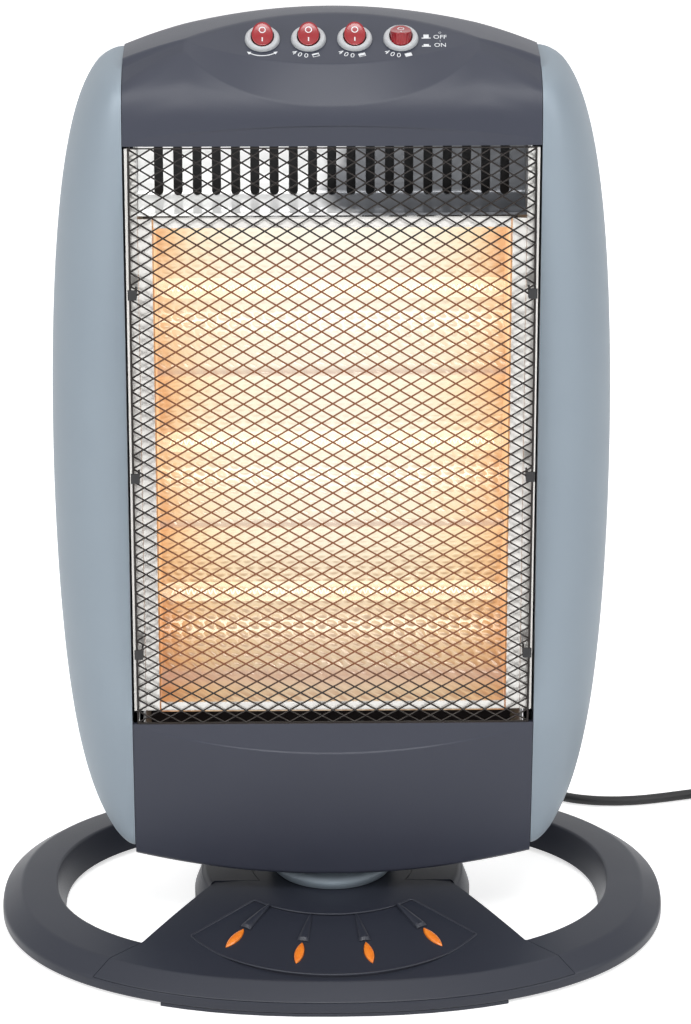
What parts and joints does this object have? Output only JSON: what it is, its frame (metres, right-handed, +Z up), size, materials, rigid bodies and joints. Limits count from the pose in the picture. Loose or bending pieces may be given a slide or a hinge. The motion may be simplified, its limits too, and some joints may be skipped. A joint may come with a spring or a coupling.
{
  "type": "halogen heater",
  "caption": "Free-standing halogen heater: swinging panel head with quartz lamps in a troughed reflector behind a diamond mesh grille, rocker switches on top, oval ring base, mains lead.",
  "frame": {"origin": "on the floor under the centre of the oval ring base, on the axis that the head swings about", "axes": "+Z up; the grille and the fan-shaped cover face -Y; +X is to the right of a person who faces the grille"},
  "size_m": [0.498, 0.3024, 0.4948],
  "materials": {
    "base_plastic": "fine satin grain",
    "dark_plastic": "fine satin grain",
    "silver_blue": "metallic paint on plastic",
    "orange_lens": "translucent, polished",
    "grey_bezel": "smooth",
    "red_rocker": "polished",
    "dark_wire": "dark chrome plating",
    "bright_steel": "bright, dimpled",
    "frame_steel": "plain pressed",
    "quartz": "clear quartz, lit",
    "ceramic": "unglazed",
    "rubber": "smooth"
  },
  "bodies": {
    "base": {"base_ring": "base_plastic", "base_bottom_cover": "base_plastic", "fan_panel": "base_plastic", "front_foot": "rubber", "rear_foot_right": "rubber", "rear_foot_left": "rubber", "pedestal_drum": "base_plastic", "oscillation_motor": "frame_steel", "accent_lens_1": "orange_lens", "accent_lens_2": "orange_lens", "accent_lens_3": "orange_lens", "accent_lens_4": "orange_lens", "strain_relief": "rubber", "cord": "rubber", "cord_coil": "rubber", "cord_tail": "rubber", "plug": "rubber"},
    "crank": {"motor_crank": "ceramic"},
    "head": {"swing_yoke": "frame_steel", "turntable": "silver_blue", "turntable_retainer": "frame_steel", "upper_housing": "dark_plastic", "lower_housing": "dark_plastic", "side_panel_right": "silver_blue", "side_panel_left": "silver_blue", "back_cover": "dark_plastic", "grille": "dark_wire", "reflector": "bright_steel", "heat_shield": "bright_steel", "side_frame_right": "frame_steel", "side_frame_left": "frame_steel", "chassis_floor": "frame_steel", "thermal_cutout": "ceramic", "terminal_block": "ceramic", "tilt_switch": "dark_plastic", "quartz_lamp_1": "quartz", "quartz_lamp_2": "quartz", "quartz_lamp_3": "quartz", "lamp_cap_right_1": "ceramic", "lamp_cap_right_2": "ceramic", "lamp_cap_right_3": "ceramic", "lamp_cap_left_1": "ceramic", "lamp_cap_left_2": "ceramic", "lamp_cap_left_3": "ceramic", "switch_bezel_1": "grey_bezel", "switch_bezel_2": "grey_bezel", "switch_bezel_3": "grey_bezel", "switch_bezel_4": "grey_bezel"},
    "rocker_1": {"switch_rocker_1": "red_rocker"},
    "rocker_2": {"switch_rocker_2": "red_rocker"},
    "rocker_3": {"switch_rocker_3": "red_rocker"},
    "rocker_4": {"switch_rocker_4": "red_rocker"}
  },
  "joints": [
    {"name": "head_swing", "type": "hinge", "parent": "base", "child": "head", "pos_m": [0, 0, 0.045], "axis": [0, 0, 1], "range_deg": [-32, 32]},
    {"name": "crank_spin", "type": "hinge", "parent": "base", "child": "crank", "pos_m": [0, 0.012, 0.016], "axis": [0, 0, 1], "range_deg": [-122, 122]},
    {"name": "rocker_1_tilt", "type": "hinge", "parent": "head", "child": "rocker_1", "pos_m": [-0.0339, -0.02118, 0.48788], "axis": [1, 0, 0], "range_deg": [-50, 0]},
    {"name": "rocker_2_tilt", "type": "hinge", "parent": "head", "child": "rocker_2", "pos_m": [-0.0113, -0.02118, 0.48788], "axis": [1, 0, 0], "range_deg": [-50, 0]},
    {"name": "rocker_3_tilt", "type": "hinge", "parent": "head", "child": "rocker_3", "pos_m": [0.0113, -0.02118, 0.48788], "axis": [1, 0, 0], "range_deg": [-50, 0]},
    {"name": "rocker_4_tilt", "type": "hinge", "parent": "head", "child": "rocker_4", "pos_m": [0.0339, -0.02118, 0.48788], "axis": [1, 0, 0], "range_deg": [0, 50]}
  ],
  "couplings": [
    {"joint": "crank_spin", "follows": "head_swing", "ratio": 3.744}
  ]
}
